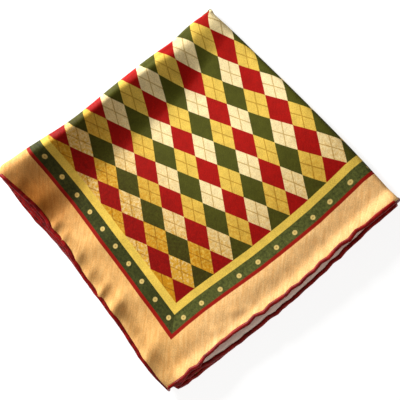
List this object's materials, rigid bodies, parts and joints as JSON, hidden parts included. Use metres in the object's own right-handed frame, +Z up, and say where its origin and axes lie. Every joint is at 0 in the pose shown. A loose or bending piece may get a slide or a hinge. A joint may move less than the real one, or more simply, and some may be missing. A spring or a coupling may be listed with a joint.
{
  "type": "folded silk scarf",
  "caption": "Square printed silk scarf with rolled hems, folded in half twice into a soft layered square that lies flat.",
  "frame": {"origin": "bottom centre of the bounding box, on the surface that the folded scarf lies on", "axes": "+Z up out of the cloth, +X from the first fold to the open hems opposite it, +Y from the other open hems to the second fold"},
  "size_m": [0.2246, 0.2294, 0.0258],
  "materials": {
    "printed_silk": "printed silk twill with a soft satin sheen: gold border, argyle field, red rolled hem"
  },
  "bodies": {
    "root": {"folded_scarf": "printed_silk"}
  },
  "joints": []
}
